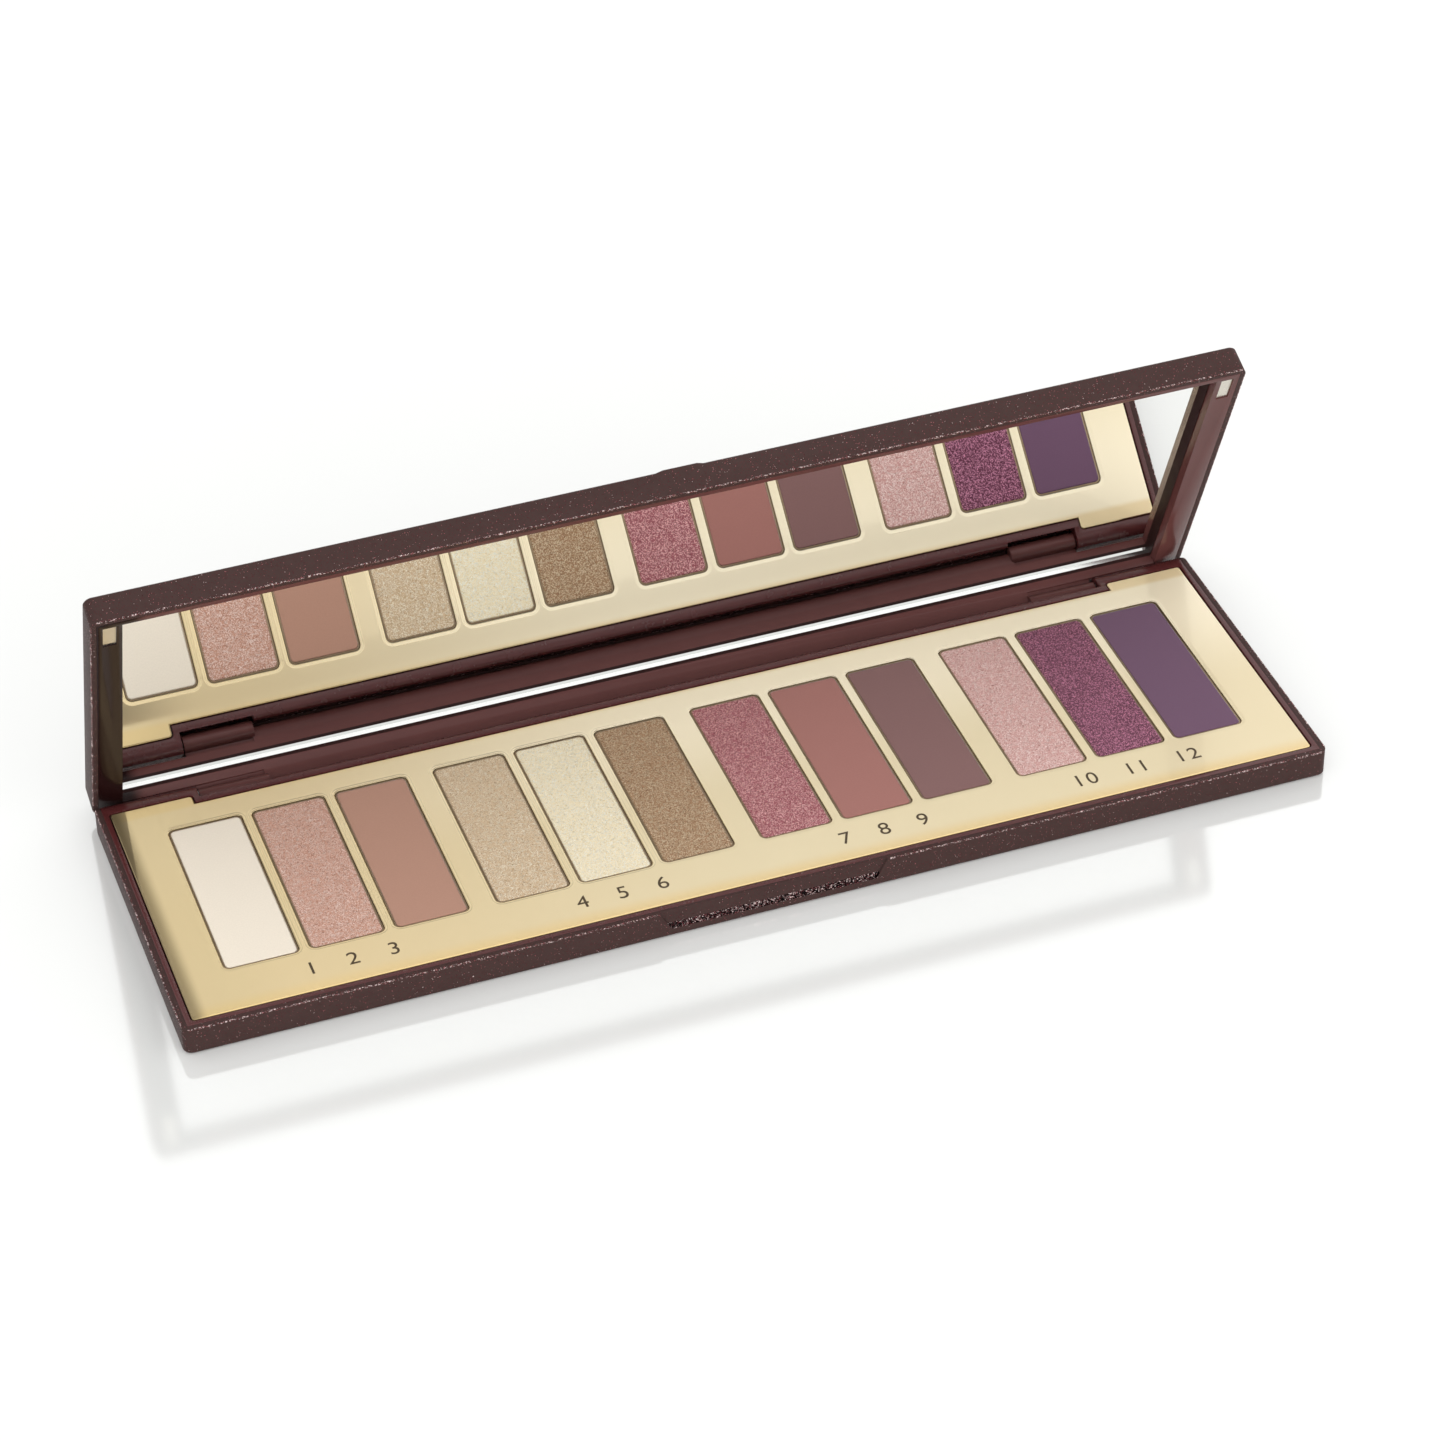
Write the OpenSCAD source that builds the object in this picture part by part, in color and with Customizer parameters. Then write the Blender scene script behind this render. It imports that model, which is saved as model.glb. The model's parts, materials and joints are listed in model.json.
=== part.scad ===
// Slim hinged eyeshadow palette: twelve pans under a metallised deck, mirror in the lid.
// Frame: origin at the centre of the underside, +X along the length, +Y to the hinge, +Z up.
// Millimetres. The lid stands open at its resting angle.

/* [Case] */
// length of the case
case_l = 208; // [196:1:225]
// depth of the case, front to back
case_d = 62.6; // [58:0.2:70]
// height of the base at its rim
base_h = 5.4; // [5.2:0.1:6.2]
// thickness of the lid from inner face to back
lid_h = 5.4; // [5:0.1:6.5]
// air between rim and lid when shut
shut_gap = 0.3; // [0.25:0.05:0.5]
// radius of the upright corners
corner_r = 1.6; // [1.2:0.1:3]
// width of the small bevel round the outer edges
edge_bevel = 0.4; // [0.2:0.1:0.6]
// wall of the two glittered outer shells
shell_t = 1.1; // [0.9:0.1:1.3]
// floor of the base shell
floor_t = 0.8; // [0.6:0.05:0.8]
// back panel of the lid shell
back_t = 1; // [0.8:0.1:1.2]

/* [Thumb notch and finger lip] */
// length of the notch along the rim
notch_top_l = 41.5; // [30:0.5:60]
// length of the notch at its foot
notch_foot_l = 37.4; // [26:0.5:56]
// height of the notch foot above the underside
notch_foot_z = 1.7; // [1.2:0.1:2.5]
// depth the notch is sunk into the front wall
notch_sink = 0.5; // [0.3:0.05:0.6]
// flat length of the finger lip on the lid
lip_flat_l = 6.2; // [4:0.2:12]
// length of the ramp at each end of the lip
lip_ramp_l = 1.9; // [1:0.1:3]
// reach of the lip in front of the lid
lip_reach = 0.8; // [0.4:0.1:1.2]
// height of the lip down the front of the lid
lip_h = 2.6; // [1.5:0.1:3.5]

/* [Rim and deck] */
// plain rim at the sides and the front
rim_w = 2; // [1.8:0.1:3]
// back rim behind the corner tabs of the deck
back_rim_end = 3.05; // [2.9:0.05:4]
// back bar behind the middle of the deck
back_rim_mid = 5.25; // [5.2:0.05:6.5]
// air all round the deck
deck_gap = 0.25; // [0.15:0.05:0.4]
// thickness of the deck plate
deck_t = 0.9; // [0.7:0.1:1.2]
// corner radius of the deck
deck_r = 0.6; // [0.3:0.1:1.2]
// length of the back corner tabs of the deck
tab_l = 14.7; // [10:0.1:17]

/* [Windows, pans and powders] */
// deck left beside the outer windows
side_margin = 8.3; // [6:0.05:12]
// deck left in front of the windows
front_margin = 10.45; // [8:0.05:14]
// deck left behind the windows
back_margin = 5.55; // [4:0.05:9]
// deck between windows of one group
bar_w = 1.75; // [1.6:0.05:3]
// deck between two groups
group_gap = 4.8; // [4.2:0.1:8]
// corner radius of the windows
window_r = 1.2; // [0.8:0.1:2]
// width of the sloped lip round each window
lip_slope_w = 0.5; // [0.3:0.05:0.75]
// height of that slope
lip_slope_h = 0.25; // [0.15:0.05:0.5]
// air between a pan and the edge of its window
pan_gap = 0.1; // [0.05:0.01:0.2]
// drop from the top of the deck to the rim of a pan
pan_set = 0.3; // [0.2:0.05:0.6]
// wall of a pan
pan_wall = 0.3; // [0.25:0.05:0.4]
// height of a pan
pan_h = 2.9; // [2.5:0.1:3.1]
// air between a pan and its pocket
pan_fit = 0.15; // [0.1:0.05:0.25]
// drop from the rim of a pan to its powder
powder_drop = 0.15; // [0.1:0.05:0.5]

/* [Lid frame and mirror] */
// frame beside the mirror
frame_side = 5.45; // [5:0.05:8]
// frame in front of the mirror
frame_front = 2.15; // [1.8:0.05:4]
// back wall of the lid, frame and shell together
back_wall = 2.15; // [2:0.05:2.3]
// depth of the mirror below the inner face
mirror_sink = 1.7; // [1.2:0.1:1.9]
// thickness of the glass
glass_t = 1.3; // [1:0.1:1.5]
// air between the edges of the glass and its recess
glass_fit = 0.1; // [0.05:0.05:0.2]
// thickness of the adhesive sheet
glue_t = 0.2; // [0.1:0.05:0.25]
// adhesive kept back from the edge of the glass
glue_inset = 2; // [1:0.5:6]
// width of a lid magnet plate
magnet_w = 2.3; // [1.8:0.1:2.6]
// length of a lid magnet plate
magnet_l = 5.5; // [4:0.1:8]
// thickness of a magnet plate
magnet_t = 1.2; // [0.8:0.1:1.5]
// depth of the lid plates below the inner face
magnet_sink = 0.25; // [0.1:0.05:0.4]
// lid plate kept back from the front edge of the mirror
lid_magnet_set = 0.15; // [0:0.05:2]
// base plate kept in from the end of the deck
base_magnet_side = 0.4; // [0.3:0.05:2]
// base plate kept back from the front edge of the deck
base_magnet_set = 0.6; // [0.3:0.05:2]

/* [Hinge] */
// height of the hinge axis above the underside
axis_z = 3.03; // [2.95:0.01:3.2]
// distance of the hinge axis from the back face
axis_back = 1.75; // [1.7:0.01:1.8]
// angle the lid stands open at
open_deg = 68.4; // [60:0.1:90]
// widest angle the lid opens to
open_max = 95; // [90:1:96]
// length of a lug
lug_l = 12.8; // [8:0.1:16]
// distance of the lugs from the ends of the case
lug_end = 18.6; // [17:0.1:24]
// wall of a lug beyond the end of its bore
lug_cap = 0.8; // [0.6:0.1:2]
// rise of the flange tip above the axis
tip_rise = 0.3; // [0.2:0.05:0.4]
// radius of the rounded back edge of the back bar
bar_round = 0.9; // [0.5:0.05:1.1]
// air between moving faces
body_gap = 0.35; // [0.3:0.05:0.45]
// radius of the hinge pins
pin_r = 0.6; // [0.5:0.05:0.7]
// running clearance of a pin in its lug
pin_fit = 0.05; // [0.02:0.01:0.08]
// length of a pin held in the base
pin_hold = 6; // [4:0.5:9]

/* [Hidden] */
pan_count = 12;
group_size = 3;
PANS = [for (i = [1:pan_count]) str("pan_", i < 10 ? "0" : "", i)];
POWDERS = [for (i = [1:pan_count]) str("powder_", i < 10 ? "0" : "", i)];
$fa = 4;
$fs = 0.25;
over = 1; // how far a cut runs past the face it opens

front = -case_d / 2;
back = case_d / 2;
half_l = case_l / 2;
inner_l = case_l - 2 * shell_t;

// hinge
axis_y = back - axis_back;
lug_r = axis_back;
lug_out = half_l - lug_end;
lug_in = lug_out - lug_l;
cut_out = lug_out + body_gap;
flange_half = lug_in + lug_cap / 2;
bar_half = lug_in - body_gap;
barrel_r = base_h - axis_z;
tip_r = back_wall / 2;
tip_z = axis_z + tip_rise;
// furthest the flange tip swings in front of the axis
tip_reach = tip_r - (axis_back - tip_r) * cos(open_max) - tip_rise * sin(open_max);
bar_back = axis_y - tip_reach - body_gap;
lug_front = axis_y - lug_r - body_gap;

// deck and windows
seat_z = base_h - deck_t;
deck_l = case_l - 2 * (rim_w + deck_gap);
deck_front = front + rim_w + deck_gap;
deck_end = back - back_rim_end - deck_gap;
deck_mid = back - back_rim_mid - deck_gap;
group_count = pan_count / group_size;
windows_l = deck_l - 2 * side_margin - (group_count - 1) * group_gap
            - (pan_count - group_count) * bar_w;
window_w = windows_l / pan_count;
window_front = deck_front + front_margin;
window_d = deck_mid - back_margin - window_front;
window_y = window_front + window_d / 2;
function window_x(i) = -deck_l / 2 + side_margin + window_w / 2 + i * (window_w + bar_w)
                       + floor(i / group_size) * (group_gap - bar_w);

// pans and powders
pan_w = window_w - 2 * pan_gap;
pan_d = window_d - 2 * pan_gap;
pan_r = window_r - pan_gap;
pan_z = base_h - pan_set - pan_h;
powder_w = pan_w - 2 * pan_wall;
powder_d = pan_d - 2 * pan_wall;
powder_z = pan_z + pan_wall;
powder_top = pan_z + pan_h - powder_drop;

// lid, drawn shut and then swung open
face_z = base_h + shut_gap;
lid_top = face_z + lid_h;
mirror_l = case_l - 2 * frame_side;
mirror_front = front + frame_front;
mirror_back = back - back_wall;
mirror_d = mirror_back - mirror_front;
glass_z = face_z + mirror_sink;
lid_magnet_x = half_l - (frame_side + shell_t) / 2;
lid_magnet_y = mirror_front + magnet_l / 2 + lid_magnet_set;
base_magnet_x = deck_l / 2 - magnet_w / 2 - base_magnet_side;
base_magnet_y = deck_front + magnet_l / 2 + base_magnet_set;

BURGUNDY = [0.22, 0.09, 0.10];
PLAIN = [0.27, 0.13, 0.13];
GOLD = [0.86, 0.74, 0.50];
METAL = [0.80, 0.79, 0.77];
POWDER_COLOURS = [[0.93, 0.88, 0.80], [0.75, 0.58, 0.53], [0.68, 0.52, 0.46],
                  [0.76, 0.66, 0.55], [0.88, 0.84, 0.73], [0.58, 0.47, 0.37],
                  [0.65, 0.38, 0.42], [0.60, 0.39, 0.36], [0.48, 0.34, 0.34],
                  [0.79, 0.61, 0.59], [0.46, 0.22, 0.32], [0.40, 0.29, 0.41]];

// ---- shapes used more than once ----

module rounded(l, d, r) {
    square([l - 2 * r, d], center = true);
    square([l, d - 2 * r], center = true);
    for (x = [-1, 1], y = [-1, 1])
        translate([x * (l / 2 - r), y * (d / 2 - r)]) circle(r);
}

// slice of height h of a rounded block: its sides stand in by low at the foot, by high at the top
module sloped_slice(l, d, r, low, high, h) {
    along(r - l / 2, l / 2 - r)
        polygon([[low - d / 2, 0], [d / 2 - low, 0], [d / 2 - high, h], [high - d / 2, h]]);
    rotate([0, 0, 90]) along(r - d / 2, d / 2 - r)
        polygon([[low - l / 2, 0], [l / 2 - low, 0], [l / 2 - high, h], [high - l / 2, h]]);
    for (x = [-1, 1], y = [-1, 1])
        translate([x * (l / 2 - r), y * (d / 2 - r), 0]) cylinder(h = h, r1 = r - low, r2 = r - high);
}

// upright block whose foot and top edges are cut back by small bevels
module bevelled(l, d, h, r, foot, top) {
    translate([0, 0, foot]) linear_extrude(h - foot - top) rounded(l, d, r);
    if (foot > 0) sloped_slice(l, d, r, foot, 0, foot);
    if (top > 0) translate([0, 0, h - top]) sloped_slice(l, d, r, 0, top, top);
}

// carries a profile drawn as (y, z) along X, between two places
module along(x0, x1) {
    translate([x0, 0, 0]) rotate([90, 0, 90]) linear_extrude(x1 - x0) children();
}

// box from corner to corner
module span(low, high) {
    translate(low) cube(high - low);
}

module both_ends() {
    children();
    mirror([1, 0, 0]) children();
}

module open_lid() {
    translate([0, axis_y, axis_z]) rotate([-open_deg, 0, 0])
        translate([0, -axis_y, -axis_z]) children();
}

// clears the back top edge of the base to a barrel round the hinge axis
module back_round_off() {
    difference() {
        span([-case_l, axis_y, axis_z], [case_l, back + over, base_h + over]);
        along(-case_l - over, case_l + over) translate([axis_y, axis_z]) circle(barrel_r);
    }
}

module deck_plan(grow) {
    l = deck_l + 2 * grow;
    r = deck_r + grow;
    translate([0, (deck_front + deck_mid) / 2]) rounded(l, deck_mid - deck_front + 2 * grow, r);
    tab_d = deck_end - deck_mid + 4 * r;
    for (s = [-1, 1])
        translate([s * (deck_l - tab_l) / 2, deck_end - tab_d / 2 + grow / 2])
            rounded(tab_l + 2 * grow, tab_d + grow, r);
}

// ---- base ----

module notch() {
    translate([0, front + notch_sink, 0]) rotate([90, 0, 0]) linear_extrude(notch_sink + over)
        polygon([[-notch_foot_l / 2, notch_foot_z], [notch_foot_l / 2, notch_foot_z],
                 [notch_top_l / 2, base_h], [notch_top_l / 2, base_h + over],
                 [-notch_top_l / 2, base_h + over], [-notch_top_l / 2, base_h]]);
}

module base_shell() {
    color(BURGUNDY) difference() {
        bevelled(case_l, case_d, base_h, corner_r, edge_bevel, 0);
        span([-inner_l / 2, front + shell_t, floor_t], [inner_l / 2, back + over, base_h + over]);
        notch();
        back_round_off();
    }
}

// the back bar clears the flange and stops short of the lugs, which get a cut-out each
module back_bar_cut() {
    difference() {
        span([-cut_out, lug_front, 0], [cut_out, back + over, base_h + over]);
        along(-bar_half, bar_half) {
            translate([lug_front - over, -over])
                square([bar_back - bar_round - lug_front + over, base_h + over]);
            translate([lug_front - over, -over])
                square([bar_back - lug_front + over, base_h - bar_round + over]);
            translate([bar_back - bar_round, base_h - bar_round]) circle(bar_round);
        }
    }
}

module pan_tray() {
    color(PLAIN) difference() {
        intersection() {
            translate([0, 0, floor_t]) linear_extrude(base_h - floor_t)
                rounded(case_l, case_d, corner_r);
            span([-inner_l / 2, front + shell_t, 0], [inner_l / 2, back + over, base_h]);
        }
        translate([0, 0, seat_z]) linear_extrude(deck_t + over) deck_plan(deck_gap);
        for (i = [0:pan_count - 1])
            translate([window_x(i), window_y, pan_z]) linear_extrude(base_h)
                square([pan_w + 2 * pan_fit, pan_d + 2 * pan_fit], center = true);
        base_magnet_body(over);
        mirror([1, 0, 0]) base_magnet_body(over);
        back_bar_cut();
        back_round_off();
        both_ends() translate([cut_out - over, axis_y, axis_z]) rotate([0, 90, 0])
            cylinder(h = pin_hold + over, r = pin_r);
    }
}

module deck_plate() {
    color(GOLD) difference() {
        translate([0, 0, seat_z]) linear_extrude(deck_t) deck_plan(0);
        for (i = [0:pan_count - 1]) translate([window_x(i), window_y, 0]) {
            translate([0, 0, seat_z - over]) linear_extrude(deck_t + 2 * over)
                rounded(window_w, window_d, window_r);
            translate([0, 0, base_h - lip_slope_h])
                sloped_slice(window_w, window_d, window_r, 0, -lip_slope_w, lip_slope_h);
        }
    }
}

module pan(i) {
    color(METAL) translate([window_x(i), window_y, pan_z]) difference() {
        linear_extrude(pan_h) rounded(pan_w, pan_d, pan_r);
        translate([0, 0, pan_wall]) linear_extrude(pan_h)
            rounded(powder_w, powder_d, pan_r - pan_wall);
    }
}

module powder(i) {
    color(POWDER_COLOURS[i]) translate([window_x(i), window_y, powder_z])
        linear_extrude(powder_top - powder_z) rounded(powder_w, powder_d, pan_r - pan_wall);
}

module base_magnet_body(rise) {
    span([base_magnet_x - magnet_w / 2, base_magnet_y - magnet_l / 2, seat_z - magnet_t],
         [base_magnet_x + magnet_w / 2, base_magnet_y + magnet_l / 2, seat_z + rise]);
}

module base_magnet_right() { color(METAL) base_magnet_body(0); }
module base_magnet_left() { color(METAL) mirror([1, 0, 0]) base_magnet_body(0); }

module pin_body() {
    start = lug_in + lug_cap + body_gap;
    translate([start, axis_y, axis_z]) rotate([0, 90, 0])
        cylinder(h = cut_out + pin_hold - start, r = pin_r);
}

module hinge_pin_right() { color(METAL) pin_body(); }
module hinge_pin_left() { color(METAL) mirror([1, 0, 0]) pin_body(); }

// ---- lid ----

// small wedge with ramped ends on the front edge of the lid
module finger_lip() {
    top = lid_top - edge_bevel;
    intersection() {
        along(-case_l, case_l)
            polygon([[front + over, top], [front - lip_reach, top],
                     [front - lip_reach, top - lip_reach], [front, top - lip_h],
                     [front + over, top - lip_h]]);
        linear_extrude(lid_top)
            polygon([[-lip_flat_l / 2 - lip_ramp_l, front], [-lip_flat_l / 2, front - lip_reach],
                     [lip_flat_l / 2, front - lip_reach], [lip_flat_l / 2 + lip_ramp_l, front],
                     [lip_flat_l / 2 + lip_ramp_l, front + over],
                     [-lip_flat_l / 2 - lip_ramp_l, front + over]]);
    }
}

module lid_shell() {
    color(BURGUNDY) open_lid() {
        difference() {
            translate([0, 0, face_z]) bevelled(case_l, case_d, lid_h, corner_r, 0, edge_bevel);
            span([-inner_l / 2, front + shell_t, face_z - over],
                 [inner_l / 2, back - shell_t, lid_top - back_t]);
        }
        finger_lip();
    }
}

// back flange from lug to lug, with a round tip that turns close to the hinge axis
module flange() {
    along(-flange_half, flange_half) {
        translate([back - back_wall, tip_z]) square([back_wall, face_z - tip_z]);
        translate([back - tip_r, tip_z]) circle(tip_r);
    }
}

module lug() {
    difference() {
        along(lug_in, lug_out) {
            translate([axis_y, axis_z]) circle(lug_r);
            translate([axis_y, axis_z]) square([axis_back, face_z - axis_z]);
        }
        translate([lug_in + lug_cap, axis_y, axis_z]) rotate([0, 90, 0])
            cylinder(h = lug_l, r = pin_r + pin_fit);
    }
}

module lid_magnet_body(drop) {
    x = lid_magnet_x;
    span([x - magnet_w / 2, lid_magnet_y - magnet_l / 2, face_z + magnet_sink - drop],
         [x + magnet_w / 2, lid_magnet_y + magnet_l / 2, face_z + magnet_sink + magnet_t]);
}

module lid_frame() {
    color(PLAIN) open_lid() {
        difference() {
            span([-inner_l / 2, front + shell_t, face_z],
                 [inner_l / 2, back - shell_t, lid_top - back_t]);
            span([-mirror_l / 2, mirror_front, face_z - over],
                 [mirror_l / 2, mirror_back, glass_z + glass_t + glue_t]);
            both_ends() lid_magnet_body(over);
        }
        flange();
        both_ends() lug();
    }
}

module mirror_glass() {
    color([0.86, 0.88, 0.88]) open_lid()
        span([glass_fit - mirror_l / 2, mirror_front + glass_fit, glass_z],
             [mirror_l / 2 - glass_fit, mirror_back - glass_fit, glass_z + glass_t]);
}

module mirror_adhesive() {
    color([0.85, 0.85, 0.82]) open_lid()
        span([-mirror_l / 2 + glue_inset, mirror_front + glue_inset, glass_z + glass_t],
             [mirror_l / 2 - glue_inset, mirror_back - glue_inset, glass_z + glass_t + glue_t]);
}

module lid_magnet_right() { color(METAL) open_lid() lid_magnet_body(0); }
module lid_magnet_left() { color(METAL) open_lid() mirror([1, 0, 0]) lid_magnet_body(0); }

base_shell();
pan_tray();
deck_plate();
for (i = [0:pan_count - 1]) {
    pan(i);
    powder(i);
}
base_magnet_left();
base_magnet_right();
hinge_pin_left();
hinge_pin_right();
lid_shell();
lid_frame();
mirror_glass();
mirror_adhesive();
lid_magnet_left();
lid_magnet_right();
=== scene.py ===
import json
import bmesh
import bpy
import numpy as np
from mathutils import Matrix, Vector
from mathutils.geometry import tessellate_polygon


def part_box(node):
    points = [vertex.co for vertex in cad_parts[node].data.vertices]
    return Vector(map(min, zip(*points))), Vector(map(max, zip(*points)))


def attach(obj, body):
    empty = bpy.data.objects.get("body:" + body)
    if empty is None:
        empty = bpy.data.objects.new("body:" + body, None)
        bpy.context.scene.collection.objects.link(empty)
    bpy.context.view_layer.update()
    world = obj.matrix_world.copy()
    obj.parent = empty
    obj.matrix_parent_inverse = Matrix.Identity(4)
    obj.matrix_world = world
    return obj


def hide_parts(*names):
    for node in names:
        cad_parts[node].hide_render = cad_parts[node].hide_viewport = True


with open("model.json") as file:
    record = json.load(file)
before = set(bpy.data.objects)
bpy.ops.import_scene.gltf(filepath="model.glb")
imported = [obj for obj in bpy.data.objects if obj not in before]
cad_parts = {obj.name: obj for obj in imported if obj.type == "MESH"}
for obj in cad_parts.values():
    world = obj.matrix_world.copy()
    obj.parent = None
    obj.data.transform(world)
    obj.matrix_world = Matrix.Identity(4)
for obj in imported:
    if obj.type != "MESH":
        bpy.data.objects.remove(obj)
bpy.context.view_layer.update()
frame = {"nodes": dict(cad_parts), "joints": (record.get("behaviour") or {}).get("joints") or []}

CAD = frame["nodes"]


# ---- Base shell ----
# Outer moulding of the base, burgundy plastic with fine glitter set in its clear lacquer.
# The pan tray is bonded into it, and the thumb notch is sunk into its front wall.

shell_low, shell_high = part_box("base_shell")
HALF_L, FRONT, RIM_Z = shell_high[0], shell_low[1], shell_high[2]
# rounding of the moulded edges, and the depth and half length of the thumb notch
SHELL_EDGE = 0.00012
NOTCH_SINK = 0.0005
NOTCH_HALF = 0.0205
# below this height the foot of the notch and its ledge carry painted shade
NOTCH_SHADE_Z = 0.0027
# widths of the glitter along the edge of the mouth, massed there as painted glints, and of the part of the
# ledge that shows and carries painted shade
EDGE_BAND = 0.00022
LEDGE_BAND = 0.0007
# upward part of the normal over which a face looks up, and under which it looks down
LOOKS_UP, LOOKS_DOWN = 0.3, -0.5
# a face looks in when its normal, times the way from it to the middle in metres, is over this
LOOKS_IN = 0.005

# distance under which points of a mould are one point, and the turns between neighbouring faces
# up to which they are joined as flat, over which they are bevelled, and over which they stay sharp
MERGE = 0.000001
FLAT_TURN, BEVEL_TURN, SHARP_TURN = 0.01, np.radians(25), np.radians(35)

# size of a flake, share of a face that it covers, share added on an edge as painted glints, lean, colour
FLAKES = ((0.00011, 0.06, 0.08, 1.0, (0.12, 0.03, 0.035)),
          (0.00010, 0.006, 0.08, 1.1, (0.62, 0.20, 0.22)),
          (0.00009, 0.0014, 0.05, 1.2, (1.0, 0.76, 0.74)),
          (0.00018, 0.0001, 0.13, 1.2, (1.0, 0.80, 0.78)))


def new_material(name):
    """An empty node material, its tree and its output node."""
    made = bpy.data.materials.new(name)
    made.use_nodes = True
    made.node_tree.nodes.clear()
    return made, made.node_tree, made.node_tree.nodes.new("ShaderNodeOutputMaterial")


def finish_node(tree, colour, **sockets):
    """One shader, with its fixed values set on its own sockets."""
    shader = tree.nodes.new("ShaderNodeBsdfPrincipled")
    shader.inputs["Base Color"].default_value = (*colour, 1)
    for socket, value in sockets.items():
        shader.inputs[socket.replace("_", " ")].default_value = value
    return shader


def maths(tree, kind, *values):
    """A number worked out from sockets or plain numbers."""
    node = tree.nodes.new("ShaderNodeMath")
    node.operation = kind
    for socket, value in zip(node.inputs, values):
        if isinstance(value, (int, float)):
            socket.default_value = value
        else:
            tree.links.new(value, socket)
    return node.outputs[0]


def vector_maths(tree, kind, *values):
    """A vector worked out from sockets or plain triples; a single number goes to the scale."""
    node = tree.nodes.new("ShaderNodeVectorMath")
    node.operation = kind
    slots = iter(node.inputs)
    for value in values:
        if isinstance(value, (int, float)):
            node.inputs["Scale"].default_value = value
            continue
        socket = next(slots)
        if isinstance(value, tuple):
            socket.default_value = value
        else:
            tree.links.new(value, socket)
    return node.outputs["Value" if kind == "DOT_PRODUCT" else "Vector"]


def parts_of(tree, vector):
    """The three numbers of a vector, as sockets."""
    node = tree.nodes.new("ShaderNodeSeparateXYZ")
    tree.links.new(vector, node.inputs[0])
    return node.outputs


def object_place(tree):
    """Where a point lies on the piece, in metres."""
    return tree.nodes.new("ShaderNodeTexCoord").outputs["Object"]


def surface_normal(tree):
    """Which way the surface faces."""
    return tree.nodes.new("ShaderNodeNewGeometry").outputs["Normal"]


def noise(tree, where, scale, detail=3, rough=0.5):
    """Soft noise from 0 to 1, with about scale lumps to the metre."""
    node = tree.nodes.new("ShaderNodeTexNoise")
    node.inputs["Scale"].default_value = scale
    node.inputs["Detail"].default_value = detail
    node.inputs["Roughness"].default_value = rough
    tree.links.new(where, node.inputs["Vector"])
    return node.outputs["Fac"]


def colour_between(tree, share, low, high):
    """A colour between two fixed colours, by a 0 to 1 socket."""
    node = tree.nodes.new("ShaderNodeMix")
    node.data_type = "RGBA"
    node.inputs["A"].default_value = (*low, 1)
    node.inputs["B"].default_value = (*high, 1)
    tree.links.new(share, node.inputs["Factor"])
    return node.outputs["Result"]


def toned(tree, tone, share, colour):
    """A colour socket turned towards a fixed colour, by a 0 to 1 socket."""
    node = tree.nodes.new("ShaderNodeMix")
    node.data_type = "RGBA"
    node.inputs["B"].default_value = (*colour, 1)
    tree.links.new(tone, node.inputs["A"])
    tree.links.new(share, node.inputs["Factor"])
    return node.outputs["Result"]


def blend_shaders(tree, share, first, second):
    """One shader turning into another, by a 0 to 1 socket."""
    node = tree.nodes.new("ShaderNodeMixShader")
    tree.links.new(share, node.inputs[0])
    tree.links.new(first, node.inputs[1])
    tree.links.new(second, node.inputs[2])
    return node.outputs[0]


def bump(tree, height, strength, distance):
    """A normal tilted by a height socket, distance metres from its low to its high."""
    node = tree.nodes.new("ShaderNodeBump")
    node.inputs["Strength"].default_value = strength
    node.inputs["Distance"].default_value = distance
    tree.links.new(height, node.inputs["Height"])
    return node.outputs["Normal"]


def flakes(tree, where, size, share, tilt):
    """Flakes of about size metres: a 0 or 1 mask that takes the given share of the cells, and
    the surface normal leaned at random by tilt in each cell."""
    cells = tree.nodes.new("ShaderNodeTexVoronoi")
    cells.inputs["Scale"].default_value = 1 / size
    tree.links.new(where, cells.inputs["Vector"])
    split = tree.nodes.new("ShaderNodeSeparateColor")
    tree.links.new(cells.outputs["Color"], split.inputs["Color"])
    mask = maths(tree, "LESS_THAN", split.outputs["Red"], share)
    lean = vector_maths(tree, "SUBTRACT", cells.outputs["Color"], (0.5, 0.5, 0.5))
    lean = vector_maths(tree, "SCALE", lean, tilt)
    leaned = vector_maths(tree, "ADD", surface_normal(tree), lean)
    return mask, vector_maths(tree, "NORMALIZE", leaned)


def from_plane(tree, where, point, facing):
    """Distance from the plane through a point that faces the given way."""
    offset = vector_maths(tree, "SUBTRACT", where, point)
    return maths(tree, "ABSOLUTE", vector_maths(tree, "DOT_PRODUCT", offset, facing))


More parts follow.
